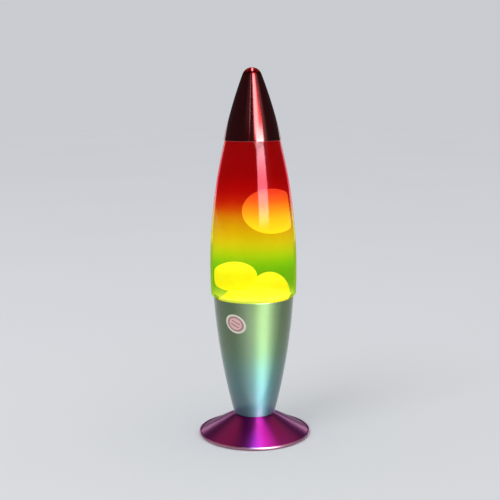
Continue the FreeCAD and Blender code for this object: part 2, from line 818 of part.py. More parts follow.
def cap_form(inset, low_z):
    """The cap's outside, moved in by inset: a bow that runs into a ball tip that touches it."""
    bow = CAP_BOW.inset(inset)
    drop = bow.centre_z - (LAMP_HEIGHT - inset)
    ball_r = (bow.radius**2 - bow.centre_r**2 - drop**2) / (2 * (drop + bow.radius))
    ball = at(0, LAMP_HEIGHT - inset - ball_r)
    away = (ball - at(bow.centre_r, bow.centre_z)).normalize()
    touch = ball + away * ball_r
    middle = ball + (away + UP).normalize() * ball_r
    return turned(
        at(0, low_z),
        bow.point(low_z),
        bow.to(low_z, touch.z),
        (middle, at(0, LAMP_HEIGHT - inset)),
    )


def top_cap():
    inside = cap_form(CAP_WALL, CAP_RIM_Z - 0.1)
    return cap_form(0, CAP_RIM_Z).cut(inside)


# --- Everything -----------------------------------------------------------------------------------
def sub_parts():
    """Every node's name and its solids."""
    nodes = {
        "foot": foot(),
        "lead_grommet": lead_grommet(),
        "bottom_plate": bottom_plate(),
        "plate_screw_left": plate_screw(-PLATE_SCREW_X),
        "plate_screw_right": plate_screw(PLATE_SCREW_X),
        "base_strap": base_strap(),
        "hollow_stud": hollow_stud(),
        "lower_washer": lower_washer(),
        "lower_nut": lower_nut(),
        "upper_washer": upper_washer(),
        "cup": cup(),
        "seat_ring": seat_ring(),
        "round_label": round_label(),
        "holder_base": holder_base(),
        "holder_sleeve": holder_sleeve(),
        "holder_insulator": holder_insulator(),
        "screw_shell": screw_shell(),
        "centre_contact": drilled(centre_contact(), -1),
        "side_contact": drilled(side_contact(), 1),
        "terminal_screw_live": terminal_screw(-1),
        "terminal_screw_neutral": terminal_screw(1),
        "terminal_clamp_live": terminal_clamp(-1),
        "terminal_clamp_neutral": terminal_clamp(1),
        "bulb_tip_contact": bulb_tip(),
        "bulb_insulator": bulb_insulator(),
        "bulb_screw_cap": bulb_screw_cap(),
        "bulb_envelope": bulb_envelope(),
        "bulb_reflector": bulb_reflector(),
        "bulb_stem": bulb_stem(),
        "bulb_lead_wire_left": bulb_lead_wire(-1),
        "bulb_lead_wire_right": bulb_lead_wire(1),
        "bulb_filament": bulb_filament(),
        "bottle": bottle(),
        "fluid": fluid(),
        "wax_pool": wax_pool(),
        "heat_coil": heat_coil(),
        "wax_blob_low": wax_blob_low(),
        "wax_blob_high": wax_blob_high(),
        "crown_cap": crown_cap(),
        "crown_liner": crown_liner(),
        "top_cap": top_cap(),
    }
    for n in range(PAD_COUNT):
        nodes[f"rubber_foot_{n + 1}"] = rubber_foot(n)
    return nodes


def main():
    os.makedirs("parts", exist_ok=True)
    for name, shape in sub_parts().items():
        solids = shape.Solids
        state = "" if shape.isValid() and solids else "  INVALID"
        print(f"{name:24s} {len(solids)} solid(s) {shape.Volume:12.1f} mm3{state}")
        shape.exportStep(f"parts/{name}.step")


main()
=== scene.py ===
import json
import math

import bmesh
import bpy
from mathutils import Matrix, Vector

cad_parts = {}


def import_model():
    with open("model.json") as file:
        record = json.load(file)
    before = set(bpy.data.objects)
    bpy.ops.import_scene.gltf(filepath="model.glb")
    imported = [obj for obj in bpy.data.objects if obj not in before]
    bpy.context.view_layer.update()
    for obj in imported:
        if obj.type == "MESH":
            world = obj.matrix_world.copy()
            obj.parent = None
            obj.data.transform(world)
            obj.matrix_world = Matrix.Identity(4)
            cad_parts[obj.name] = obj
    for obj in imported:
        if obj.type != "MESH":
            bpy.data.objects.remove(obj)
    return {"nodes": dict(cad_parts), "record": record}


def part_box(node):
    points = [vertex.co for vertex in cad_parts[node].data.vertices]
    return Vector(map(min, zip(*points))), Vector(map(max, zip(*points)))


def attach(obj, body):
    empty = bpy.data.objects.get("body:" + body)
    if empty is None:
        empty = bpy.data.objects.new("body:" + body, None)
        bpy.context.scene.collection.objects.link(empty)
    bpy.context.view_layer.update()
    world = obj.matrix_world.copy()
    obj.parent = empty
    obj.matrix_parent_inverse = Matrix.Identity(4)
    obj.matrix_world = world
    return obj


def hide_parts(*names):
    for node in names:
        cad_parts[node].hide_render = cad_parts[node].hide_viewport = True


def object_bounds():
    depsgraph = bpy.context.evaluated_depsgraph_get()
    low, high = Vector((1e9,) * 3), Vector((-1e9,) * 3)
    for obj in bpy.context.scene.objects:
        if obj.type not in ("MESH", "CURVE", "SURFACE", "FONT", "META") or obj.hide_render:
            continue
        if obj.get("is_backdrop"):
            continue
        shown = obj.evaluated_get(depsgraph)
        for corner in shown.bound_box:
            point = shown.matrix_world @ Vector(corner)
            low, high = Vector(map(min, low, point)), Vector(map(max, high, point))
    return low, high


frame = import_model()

CAD_LOW, CAD_HIGH = (list(corner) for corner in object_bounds())
NODES = frame["nodes"]
TALL = CAD_HIGH[2]
MM = 0.001
WHITE = (1.0, 1.0, 1.0)


def box(node):
    """The low and the high corner of a CAD node, in metres."""
    low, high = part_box(node)
    return Vector(low), Vector(high)


# --- Colours and nodes ----------------------------------------------------------------------------
def srgb(*levels):
    """A colour given as three screen levels from 0 to 255, in linear light."""
    shares = [level / 255 for level in levels]
    return tuple(s / 12.92 if s <= 0.04045 else ((s + 0.055) / 1.055) ** 2.4 for s in shares)


class Graph:
    """The nodes of a material, a light or the world, with short ways to add and join them."""

    def __init__(self, owner, kind="Material"):
        owner.use_nodes = True
        self.owner = owner
        self.tree = owner.node_tree
        self.tree.nodes.clear()
        self.output = self.add("Output" + kind)

    def add(self, kind, **settings):
        """A new node with its settings."""
        node = self.tree.nodes.new("ShaderNode" + kind)
        for key, value in settings.items():
            setattr(node, key, value)
        return node

    def join(self, value, socket):
        """Puts a value, or another node's output, into a socket."""
        if isinstance(value, bpy.types.NodeSocket):
            self.tree.links.new(value, socket)
        elif isinstance(value, (tuple, list)) and len(value) == 3 and socket.type == "RGBA":
            socket.default_value = (*value, 1.0)
        else:
            socket.default_value = value

    def math(self, operation, *values, clamp=False):
        """One sum of numbers."""
        node = self.add("Math", operation=operation, use_clamp=clamp)
        for value, socket in zip(values, node.inputs):
            self.join(value, socket)
        return node.outputs[0]

    def vector(self, operation, *values):
        """One sum of vectors or colours."""
        node = self.add("VectorMath", operation=operation)
        for value, socket in zip(values, node.inputs):
            self.join(value, socket)
        return node.outputs["Value" if operation in ("DOT_PRODUCT", "LENGTH") else "Vector"]

    def place(self):
        """The point in the lamp's own frame, in metres, and its x, y and z."""
        coords = self.add("TexCoord").outputs["Object"]
        split = self.add("SeparateXYZ")
        self.join(coords, split.inputs[0])
        return coords, split.outputs[0], split.outputs[1], split.outputs[2]

    def radius(self):
        """How far the point is from the lamp's axis, in metres."""
        _, x, y, _ = self.place()
        squares = self.math("ADD", self.math("MULTIPLY", x, x), self.math("MULTIPLY", y, y))
        return self.math("SQRT", squares)

    def combine(self, x, y, z):
        """Three numbers as one vector or colour."""
        node = self.add("CombineXYZ")
        for value, socket in zip((x, y, z), node.inputs):
            self.join(value, socket)
        return node.outputs[0]

    def noise(self, vector, scale, detail, rough):
        """Cloudy noise from 0 to 1."""
        node = self.add("TexNoise")
        self.join(vector, node.inputs["Vector"])
        node.inputs["Scale"].default_value = scale
        node.inputs["Detail"].default_value = detail
        node.inputs["Roughness"].default_value = rough
        return node.outputs["Fac"]

    def spread(self, value, low, high, to_low=0.0, to_high=1.0, smooth=False):
        """A value between low and high, moved to lie between to_low and to_high and held there."""
        node = self.add("MapRange", interpolation_type="SMOOTHSTEP" if smooth else "LINEAR")
        for got, socket in zip((value, low, high, to_low, to_high), node.inputs):
            self.join(got, socket)
        return node.outputs[0]

    def vary(self, noise, to_low, to_high):
        """Noise moved to lie between to_low and to_high. Most of it is between 0.3 and 0.7."""
        return self.spread(noise, 0.3, 0.7, to_low, to_high)

    def ramp(self, value, stops):
        """A colour ramp over stops of (position from 0 to 1, linear colour)."""
        node = self.add("ValToRGB")
        elements = node.color_ramp.elements
        while len(elements) < len(stops):
            elements.new(1.0)
        for element, (position, colour) in zip(elements, stops):
            element.position = position
            element.color = (*colour, 1.0)
        self.join(value, node.inputs[0])
        return node.outputs[0]

    def by_height(self, low, high, stops):
        """A ramp whose stops are given as heights in millimetres."""
        _, _, _, z = self.place()
        placed = [((height - low) / (high - low), colour) for height, colour in stops]
        return self.ramp(self.spread(z, low * MM, high * MM), placed)

    def mix(self, factor, a, b):
        """One colour over another."""
        node = self.add("Mix", data_type="RGBA")
        self.join(factor, node.inputs[0])
        self.join(a, node.inputs[6])
        self.join(b, node.inputs[7])
        return node.outputs[2]

    def shaded(self, colour, shade):
        """A colour made lighter or darker by a factor."""
        return self.vector("MULTIPLY", colour, self.combine(shade, shade, shade))

    def bump(self, height, strength, distance):
        """A surface direction tilted by a height, which distance turns into metres."""
        node = self.add("Bump")
        node.inputs["Strength"].default_value = strength
        node.inputs["Distance"].default_value = distance
        self.join(height, node.inputs["Height"])
        return node.outputs[0]

    def principled(self, **inputs):
        """The main shader. A space in a socket's name is given as _."""
        node = self.add("BsdfPrincipled")
        for key, value in inputs.items():
            self.join(value, node.inputs[key.replace("_", " ")])
        return node

    def mixed(self, factor, first, second):
        """One shader over another."""
        node = self.add("MixShader")
        self.join(factor, node.inputs[0])
        self.join(first.outputs[0], node.inputs[1])
        self.join(second.outputs[0], node.inputs[2])
        return node

    def transparent(self, colour):
        """Lets light straight through, tinted."""
        node = self.add("BsdfTransparent")
        self.join(colour, node.inputs["Color"])
        return node

    def gloss(self, roughness, normal=None, colour=WHITE):
        """Mirrors light, tinted."""
        node = self.add("BsdfGlossy", distribution="GGX")
        self.join(colour, node.inputs["Color"])
        node.inputs["Roughness"].default_value = roughness
        if normal:
            self.join(normal, node.inputs["Normal"])
        return node

    def emission(self, colour, strength):
        """Gives light."""
        node = self.add("Emission")
        self.join(colour, node.inputs["Color"])
        self.join(strength, node.inputs["Strength"])
        return node

    def sheen_of_glass(self, index):
        """How much a glass face mirrors, and nothing where it is met from inside the glass."""
        fresnel = self.add("Fresnel")
        fresnel.inputs["IOR"].default_value = index
        inside = self.add("NewGeometry").outputs["Backfacing"]
        return self.math("MULTIPLY", fresnel.outputs[0], self.math("SUBTRACT", 1.0, inside))

    def surface(self, shader):
        """Ends the graph in its shader, and gives back what it belongs to."""
        self.join(shader.outputs[0], self.output.inputs["Surface"])
        return self.owner


def new_material(name):
    """The empty graph of a new material."""
    return Graph(bpy.data.materials.new(name))


def wear(graph, colour, amount=0.12):
    """A colour with slow, faint blotches of light and dark."""
    coords, *_ = graph.place()
    blotch = graph.noise(coords, scale=90.0, detail=4.0, rough=0.6)
    return graph.shaded(colour, graph.vary(blotch, 1.0 - amount, 1.0 + amount))


# --- Materials ------------------------------------------------------------------------------------
def spun_metal(
    name, colour, lean, roughness, coat, index, coat_roughness, brushed=1.0, grazing=WHITE
):
    """Anodised sheet metal, brushed round the axis. colour is a function of the graph.

    lean is 1 where the wall widens upwards and -1 where it narrows, so that the fine lines run
    round the wall in either case. coat, index and coat_roughness are for the clear oxide on top,
    and coat may be a function of the graph. brushed is how strongly the lines show, and grazing
    tints what the metal mirrors near its outline.
    """
    g = new_material(name)
    coords, x, y, z = g.place()
    along = g.math("ADD", z, g.math("MULTIPLY", g.radius(), lean))

    def lines(around, up):
        """Noise drawn out round the axis, with its changes per metre around and up the wall."""
        across = (g.math("MULTIPLY", x, around), g.math("MULTIPLY", y, around))
        stretched = g.combine(*across, g.math("MULTIPLY", along, up))
        return g.noise(stretched, scale=1.0, detail=3.0, rough=0.7)

    fine = lines(9.0, 2600.0)
    broad = lines(5.0, 700.0)
    blotch = g.noise(coords, scale=30.0, detail=3.0, rough=0.55)
    scratches = g.math("ADD", g.math("MULTIPLY", fine, 0.7), g.math("MULTIPLY", broad, 0.3))
    light = g.spread(scratches, 0.35, 0.65, 1.0 - 0.045 * brushed, 1.0 + 0.045 * brushed)
    shade = g.math("ADD", light, g.vary(blotch, -0.025, 0.025))
    smoothest, roughest = roughness - 0.03 * brushed, roughness + 0.04 * brushed
    shader = g.principled(
        Base_Color=g.shaded(colour(g), shade),
        Metallic=1.0,
        Roughness=g.vary(scratches, smoothest, roughest),
        Anisotropic=0.9,
        Anisotropic_Rotation=0.25,
        Coat_Weight=coat(g) if callable(coat) else coat,
        Coat_IOR=index,
        Coat_Roughness=coat_roughness,
        Specular_Tint=grazing,
        Normal=g.bump(scratches, strength=0.035 * brushed, distance=0.0001),
    )
    tangent = g.add("Tangent", direction_type="RADIAL", axis="Z")
    g.join(tangent.outputs[0], shader.inputs["Tangent"])
    return g.surface(shader)


def foot_colour(g):
    """Crimson purple, with a painted highlight on the rolled rim: its colour is painted paler where
    light catches it.
    """
    edge = box("foot")[1].x
    # Painted highlight: the outer edge of the rolled rim is painted paler, for the light it
    # catches.
    rim = g.spread(g.radius(), edge - 1.7 * MM, edge - 0.9 * MM, smooth=True)
    body = g.by_height(
        0.0,
        24.0,
        [
            (0.0, (0.44, 0.010, 0.27)),
            (12.0, (0.44, 0.010, 0.28)),
            (24.0, (0.42, 0.014, 0.30)),
        ],
    )
    return g.mix(rim, body, (0.85, 0.40, 0.60))


def cup_colour(g):
    """Olive green at the rim, fading to teal below, with a painted highlight along the rim's top
    edge.
    """
    top = box("cup")[1].z / MM
    body = g.by_height(
        24.0,
        160.0,
        [
            (24.0, (0.160, 0.36, 0.39)),
            (40.0, (0.135, 0.35, 0.38)),
            (54.0, (0.095, 0.34, 0.36)),
            (66.0, (0.090, 0.35, 0.34)),
            (84.0, (0.10, 0.36, 0.25)),
            (100.0, (0.12, 0.33, 0.11)),
            (118.0, (0.13, 0.31, 0.055)),
            (145.0, (0.11, 0.28, 0.015)),
            (158.0, (0.11, 0.28, 0.010)),
        ],
    )
    _, _, _, z = g.place()
    # Painted highlight: the top edge of the rim is painted paler, for the light that catches it.
    edge = g.spread(z, (top - 0.7) * MM, (top - 0.2) * MM, smooth=True)
    return g.mix(edge, body, (0.60, 0.78, 0.40))


def cap_colour(g):
    """Deep red, paler at the very tip, with a thin painted highlight along the rim."""
    bottom = box("top_cap")[0].z / MM
    body = g.by_height(
        bottom,
        406.0,
        [
            (bottom, (0.27, 0.004, 0.005)),
            (360.0, (0.26, 0.004, 0.005)),
            (398.0, (0.28, 0.006, 0.010)),
            (406.0, (0.32, 0.010, 0.016)),
        ],
    )
    _, _, _, z = g.place()
    # Painted highlight: the bottom edge of the cap is painted paler.
    edge = g.spread(z, (bottom + 0.6) * MM, (bottom + 0.1) * MM, smooth=True)
    return g.mix(edge, body, (0.50, 0.10, 0.10))


def cap_oxide(g):
    """The weight of the clear oxide: all over the cap, but thin at the tip."""
    _, _, _, z = g.place()
    return g.spread(z, 396.0 * MM, 402.0 * MM, 1.0, 0.10, smooth=True)


# The heights in millimetres that the bottle's colours span
GLASS_LOW, GLASS_HIGH = 130.0, 345.0
# The height, the sprayed colour of the glass there, and how the lit liquid looks through it
SPRAY = [
    (130.0, (0.95, 0.98, 0.36), srgb(252, 250, 110)),
    (157.0, (0.92, 0.98, 0.32), srgb(250, 250, 100)),
    (161.0, (0.80, 0.96, 0.20), srgb(205, 232, 70)),
    (166.0, (0.70, 0.93, 0.10), srgb(150, 200, 30)),
    (173.0, (0.64, 0.90, 0.08), srgb(112, 176, 10)),
    (187.0, (0.64, 0.90, 0.07), srgb(110, 187, 7)),
    (197.0, (0.68, 0.90, 0.08), srgb(136, 206, 7)),
    (203.0, (0.75, 0.90, 0.08), srgb(168, 214, 8)),
    (209.0, (0.85, 0.90, 0.09), srgb(196, 217, 9)),
    (216.0, (0.93, 0.88, 0.09), srgb(221, 209, 9)),
    (222.0, (0.95, 0.86, 0.08), srgb(233, 199, 8)),
    (229.0, (0.97, 0.84, 0.08), srgb(232, 184, 7)),
    (241.0, (0.97, 0.76, 0.08), srgb(228, 156, 7)),
    (248.0, (0.97, 0.69, 0.08), srgb(225, 128, 7)),
    (257.0, (0.96, 0.50, 0.08), srgb(217, 46, 4)),
    (266.0, (0.95, 0.22, 0.07), srgb(199, 14, 4)),
    (276.0, (0.93, 0.08, 0.07), srgb(182, 5, 4)),
    (292.0, (0.91, 0.05, 0.06), srgb(158, 4, 4)),
    (345.0, (0.89, 0.04, 0.05), srgb(146, 2, 4)),
]
# The height, and the colour of the glass's gloss there
GLOSS = [
    (130.0, (0.40, 0.60, 0.12)),
    (200.0, (0.40, 0.60, 0.08)),
    (230.0, (0.60, 0.60, 0.10)),
    (246.0, (0.70, 0.55, 0.30)),
    (260.0, (0.80, 0.34, 0.32)),
    (273.0, (0.90, 0.36, 0.40)),
    (281.0, (0.92, 0.20, 0.28)),
    (290.0, (0.95, 0.19, 0.26)),
    (300.0, (1.00, 0.27, 0.34)),
    (313.0, (1.00, 0.42, 0.52)),
    (328.0, (1.00, 0.65, 0.68)),
]
# How much one skin of the liquid hides, and the colour of the room behind the bottle
LIQUID_COVER = 0.5
ROOM = (0.60, 0.61, 0.63)


def glow_behind(tint, seen):
    """The lamp's light in the liquid, painted on as the liquid's own glow.

    Two skins of the liquid, with the room behind them, have to give the seen colour through the
    tinted glass.
    """
    cover = 1 - (1 - LIQUID_COVER) ** 2
    light = []
    for look, film, room in zip(seen, tint, ROOM):
        light.append(max((look / film - (1 - cover) * room * film) / cover, 0.0))
    return tuple(light)


def bottle_glass():
    """Sprayed glass: its outer face tints what is behind it, under a hard gloss.

    The thick shoulder at the cup's rim glows, because it pipes the light up from below.
    """
    g = new_material("bottle_glass")
    coords, x, y, z = g.place()
    geometry = g.add("NewGeometry")
    inside = geometry.outputs["Backfacing"]
    facing = g.vector("DOT_PRODUCT", geometry.outputs["True Normal"], g.combine(x, y, 0.0))
    outward = g.math("MULTIPLY", facing, g.math("SUBTRACT", 1.0, g.math("MULTIPLY", inside, 2.0)))
    outside = g.spread(outward, 0.0, 0.002)
    upright = (g.math("MULTIPLY", x, 60.0), g.math("MULTIPLY", y, 60.0), g.math("MULTIPLY", z, 9.0))
    streaks = g.noise(g.combine(*upright), scale=1.0, detail=2.0, rough=0.5)
    film = g.vary(streaks, 0.96, 1.0)
    tints = g.by_height(GLASS_LOW, GLASS_HIGH, [(height, tint) for height, tint, _ in SPRAY])
    sprayed = g.shaded(tints, film)
    clear = g.transparent(g.mix(outside, (0.985, 0.985, 0.985), sprayed))
    wavy = g.noise(coords, scale=26.0, detail=1.5, rough=0.4)
    ripple = g.bump(wavy, strength=0.06, distance=0.0012)
    gloss = g.gloss(0.07, ripple, g.by_height(GLASS_LOW, GLASS_HIGH, GLOSS))
    piped = g.spread(z, 163.0 * MM, 158.0 * MM, 0.0, 0.55, smooth=True)
    piped = g.math("MULTIPLY", piped, outside)
    shoulder = g.mixed(piped, clear, g.emission(srgb(196, 228, 60), 1.0))
    return g.surface(g.mixed(g.math("MULTIPLY", g.sheen_of_glass(1.50), outside), shoulder, gloss))


def liquid_glow():
    """The lit liquid: half clear, with the glow that the lamp below gives it."""
    g = new_material("clear_liquid")
    coords, _, _, z = g.place()
    haze = g.noise(coords, scale=16.0, detail=2.0, rough=0.5)
    glow = [(height, glow_behind(tint, seen)) for height, tint, seen in SPRAY]
    strength = g.vary(haze, 0.93, 1.06)
    light = g.emission(g.by_height(GLASS_LOW, GLASS_HIGH, glow), strength)
    cover = g.spread(z, 164.0 * MM, 157.0 * MM, LIQUID_COVER, 0.93, smooth=True)
    return g.surface(g.mixed(cover, g.transparent((0.99, 0.99, 0.98)), light))


def lit_wax(name, light, strength):
    """Translucent wax with the lamp's light shining up through it painted on as a glow, and a
    painted highlight where it faces up.
    """
    g = new_material(name)
    coords, *_ = g.place()
    cloud = g.noise(coords, scale=45.0, detail=3.0, rough=0.5)
    up = g.add("SeparateXYZ")
    g.join(g.add("NewGeometry").outputs["Normal"], up.inputs[0])
    # Painted highlight: the glow is painted paler where the wax faces up.
    crown = g.spread(up.outputs[2], 0.2, 1.0, 0.0, 0.35, smooth=True)
    shade = g.vary(cloud, 0.95, 1.04)
    paler = tuple(0.6 * level + 0.4 for level in light)
    lit = g.shaded(g.mix(crown, light, paler), shade)
    shader = g.principled(
        Base_Color=(0.55, 0.36, 0.04),
        Roughness=0.45,
        Specular_IOR_Level=0.05,
        Emission_Color=lit,
        Emission_Strength=strength,
        Normal=g.bump(cloud, strength=0.05, distance=0.001),
    )
    return g.surface(shader)


def moulded(name, colour, roughness, grain, depth=0.05, specular=0.5):
    """Plastic, rubber or ceramic with a fine moulded grain."""
    g = new_material(name)
    coords, *_ = g.place()
    fine = g.noise(coords, scale=grain, detail=3.0, rough=0.6)
    shader = g.principled(
        Base_Color=wear(g, colour),
        Roughness=g.vary(fine, roughness - 0.06, roughness + 0.06),
        Specular_IOR_Level=specular,
        Normal=g.bump(fine, strength=depth, distance=0.0002),
    )
    return g.surface(shader)


def rubber(name, colour, roughness):
    """Dull rubber with a fine, deep grain."""
    return moulded(name, colour, roughness, grain=1200.0, depth=0.10, specular=0.3)


def plain_metal(name, colour, roughness, grain=700.0, coat=0.0):
    """Plated or drawn metal with faint handling marks."""
    g = new_material(name)
    coords, *_ = g.place()
    marks = g.noise(coords, scale=grain, detail=4.0, rough=0.65)
    shader = g.principled(
        Base_Color=wear(g, colour, 0.08),
        Metallic=1.0,
        Roughness=g.vary(marks, roughness - 0.06, roughness + 0.09),
        Coat_Weight=coat,
        Normal=g.bump(marks, strength=0.04, distance=0.0001),
    )
    return g.surface(shader)


def thin_glass(name, colour, veil):
    """Clear blown glass with a little milkiness."""
    g = new_material(name)
    coords, *_ = g.place()
    cloud = g.noise(coords, scale=120.0, detail=2.0, rough=0.5)
    milk = g.vary(cloud, veil * 0.6, veil)
    cover = g.math("ADD", g.sheen_of_glass(1.45), milk, clamp=True)
    return g.surface(g.mixed(cover, g.transparent(colour), g.gloss(0.05)))


def glowing_wire():
    """White-hot wire, a little redder in places."""
    g = new_material("tungsten")
    coords, *_ = g.place()
    heat = g.noise(coords, scale=900.0, detail=1.0, rough=0.5)
    colour = g.ramp(heat, [(0.3, (1.0, 0.55, 0.18)), (0.7, (1.0, 0.74, 0.38))])
    shader = g.principled(
        Base_Color=(0.5, 0.4, 0.3),
        Metallic=1.0,
        Roughness=0.4,
        Emission_Color=colour,
        Emission_Strength=12.0,
    )
    return g.surface(shader)


def label_film():
    """A plain printed oval: cream edge, a rose ring, and two bars across a pale middle."""
    g = new_material("label_film")
    coords, *_ = g.place()
    low, high = box("round_label")
    centre = (low + high) / 2
    turn = math.atan2(centre.x, -centre.y)
    tilt = math.radians(25.0)
    half_long, half_short = 12.3 * MM, 9.9 * MM
    bar_share = 0.20
    across = Vector((math.cos(turn), math.sin(turn), 0.0))
    long_way = across * math.cos(tilt) - Vector((0, 0, 1)) * math.sin(tilt)
    short_way = across * math.sin(tilt) + Vector((0, 0, 1)) * math.cos(tilt)
    offset = g.vector("SUBTRACT", coords, tuple(centre))
    u = g.math("DIVIDE", g.vector("DOT_PRODUCT", offset, tuple(long_way)), half_long)
    v = g.math("DIVIDE", g.vector("DOT_PRODUCT", offset, tuple(short_way)), half_short)
    out = g.math("SQRT", g.math("ADD", g.math("MULTIPLY", u, u), g.math("MULTIPLY", v, v)))
    cream = (0.70, 0.66, 0.56)
    rose = (0.36, 0.20, 0.18)
    pale = (0.72, 0.44, 0.44)
    stops = [(0.0, pale), (0.60, pale), (0.63, rose), (0.80, rose), (0.83, cream), (1.0, cream)]
    rings = g.ramp(out, stops)
    bar = g.math("ABSOLUTE", g.math("SUBTRACT", g.math("ABSOLUTE", v), bar_share))
    bars = g.math("MULTIPLY", g.spread(bar, 0.10, 0.06), g.spread(out, 0.50, 0.46))
    ink = g.mix(bars, rings, rose)
    fibre = g.noise(coords, scale=1600.0, detail=2.0, rough=0.5)
    shader = g.principled(
        Base_Color=wear(g, ink, 0.05),
        Roughness=g.vary(fibre, 0.34, 0.46),
        Normal=g.bump(fibre, strength=0.04, distance=0.0001),
    )
    return g.surface(shader)


MATERIALS = {
    "foot_anodised": spun_metal(
        "foot_anodised",
        foot_colour,
        lean=-1.0,
        roughness=0.40,
        coat=0.25,
        index=1.50,
        coat_roughness=0.18,
    ),
    "cup_anodised": spun_metal(
        "cup_anodised",
        cup_colour,
        lean=1.0,
        roughness=0.72,
        coat=1.0,
        index=1.95,
        coat_roughness=0.18,
    ),
    "cap_anodised": spun_metal(
        "cap_anodised",
        cap_colour,
        lean=-1.0,
        roughness=0.17,
        coat=cap_oxide,
        index=1.60,
        coat_roughness=0.12,
        brushed=0.15,
        grazing=(0.55, 0.16, 0.17),
    ),
    "plate_steel": moulded(
        "plate_steel", (0.018, 0.018, 0.020), roughness=0.42, grain=500.0, depth=0.12
    ),
    "zinc_steel": plain_metal("zinc_steel", (0.56, 0.57, 0.60), roughness=0.34),
    "black_rubber": rubber("black_rubber", (0.014, 0.014, 0.014), roughness=0.62),
    "seal_rubber": rubber("seal_rubber", (0.035, 0.035, 0.034), roughness=0.58),
    "label_film": label_film(),
    "holder_resin": moulded("holder_resin", (0.020, 0.019, 0.018), roughness=0.30, grain=400.0),
    "ceramic": moulded("ceramic", (0.72, 0.69, 0.62), roughness=0.22, grain=300.0, depth=0.03),
    "contact_brass": plain_metal("contact_brass", (0.78, 0.56, 0.24), roughness=0.26),
    "solder": plain_metal("solder", (0.55, 0.55, 0.56), roughness=0.38, grain=400.0),
    "black_glass": moulded(
        "black_glass", (0.012, 0.010, 0.016), roughness=0.12, grain=300.0, depth=0.03
    ),
    "bulb_cap_nickel": plain_metal("bulb_cap_nickel", (0.62, 0.60, 0.55), roughness=0.25),
    "bulb_glass": thin_glass("bulb_glass", (0.96, 0.97, 0.96), veil=0.10),
    "silver_film": plain_metal("silver_film", (0.88, 0.88, 0.88), roughness=0.12),
    "stem_glass": thin_glass("stem_glass", (0.88, 0.94, 0.91), veil=0.18),
    "wire_nickel": plain_metal("wire_nickel", (0.50, 0.48, 0.44), roughness=0.35),
    "tungsten": glowing_wire(),
    "bottle_glass": bottle_glass(),
    "clear_liquid": liquid_glow(),
    # Both waxes glow with painted lamp light; the lower one, nearer the lamp, is painted brighter
    # and more orange than the upper.
    "wax_low": lit_wax("wax", (1.0, 0.50, 0.03), strength=2.9),
    "wax_high": lit_wax("wax_upper", (1.0, 0.95, 0.20), strength=1.45),
    "coil_wire": plain_metal("coil_wire", (0.55, 0.53, 0.48), roughness=0.30),
    "crown_tinplate": plain_metal(
        "crown_tinplate", (0.66, 0.66, 0.68), roughness=0.24, grain=500.0, coat=0.3
    ),
    "liner_plastic": moulded(
        "liner_plastic", (0.66, 0.66, 0.62), roughness=0.5, grain=700.0, depth=0.06
    ),
}


def wear_material(node, material):
    """Gives a CAD node its material in every slot."""
    mesh = NODES[node].data
    if not mesh.materials:
        mesh.materials.append(material)
    for index in range(len(mesh.materials)):
        mesh.materials[index] = material


# The CAD's own wax is replaced further down
for part in frame["record"]["subparts"]:
    if part["material_slot"] != "wax":
        wear_material(part["node"], MATERIALS[part["material_slot"]])


# --- Pieces that Blender shapes -------------------------------------------------------------------
def link(name, mesh, material):
    """A new smooth-shaded object in one material."""
    obj = bpy.data.objects.new(name, mesh)
    bpy.context.scene.collection.objects.link(obj)
    mesh.materials.clear()
    mesh.materials.append(material)
    mesh.shade_smooth()
    return obj


def world_mesh(node):
    """A copy of a CAD node's mesh."""
    mesh = NODES[node].data.copy()
    mesh.transform(NODES[node].matrix_world)
    return mesh


def apply_modifiers(obj):
    """Turns what the modifiers make of a mesh into the mesh itself."""
    shown = obj.evaluated_get(bpy.context.evaluated_depsgraph_get())
    mesh = bpy.data.meshes.new_from_object(shown)
    obj.modifiers.clear()
    old = obj.data
    obj.data = mesh
    bpy.data.meshes.remove(old)
    obj.data.shade_smooth()


def fill_box(mesh, low, high):
    """Stretches a mesh a little, so that it fills a box again."""
    spots = [vertex.co.copy() for vertex in mesh.vertices]
    for axis in range(3):
        least = min(spot[axis] for spot in spots)
        share = (high[axis] - low[axis]) / (max(spot[axis] for spot in spots) - least)
        for vertex, spot in zip(mesh.vertices, spots):
            vertex.co[axis] = low[axis] + (spot[axis] - least) * share


def heap(mesh, x, y, reach, ceiling):
    """Raises the pool's top towards a ceiling, most at one spot, as wax piles up under a blob.

    Its underside, up to the still height, stays where it fits the bottle's floor.
    """
    still, depth = 148.0 * MM, 6.0 * MM
    for vertex in mesh.vertices:
        near = max(1 - ((vertex.co.x - x) ** 2 + (vertex.co.y - y) ** 2) / reach**2, 0.0) ** 2
        loose = min(max((vertex.co.z - still) / depth, 0.0), 1.0)
        vertex.co.z += near * loose * max(ceiling - vertex.co.z, 0.0)


def soft_wax(name, node, body, material, voxel, rounds):
    """Wax with its creases drawn smooth, as surface tension leaves it.

    voxel is the size of the remeshed grid, and rounds how often it is smoothed.
    """
    obj = link(name, world_mesh(node), material)
    remesh = obj.modifiers.new("remesh", "REMESH")
    remesh.mode = "VOXEL"
    remesh.voxel_size = voxel
    smooth = obj.modifiers.new("smooth", "SMOOTH")
    smooth.factor = 0.5
    smooth.iterations = rounds
    apply_modifiers(obj)
    fill_box(obj.data, *box(node))
    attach(obj, body)
    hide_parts(node)
    return obj


low_wax, high_wax = MATERIALS["wax_low"], MATERIALS["wax_high"]
soft_wax("wax_low_blob", "wax_blob_low", "wax_low", low_wax, voxel=1.0 * MM, rounds=60)
soft_wax("wax_high_blob", "wax_blob_high", "wax_high", high_wax, voxel=1.0 * MM, rounds=60)
pool = soft_wax("wax_pool_melt", "wax_pool", "bottle", low_wax, voxel=1.1 * MM, rounds=14)
heap(pool.data, x=-24.0 * MM, y=-22.0 * MM, reach=17.0 * MM, ceiling=168.0 * MM)


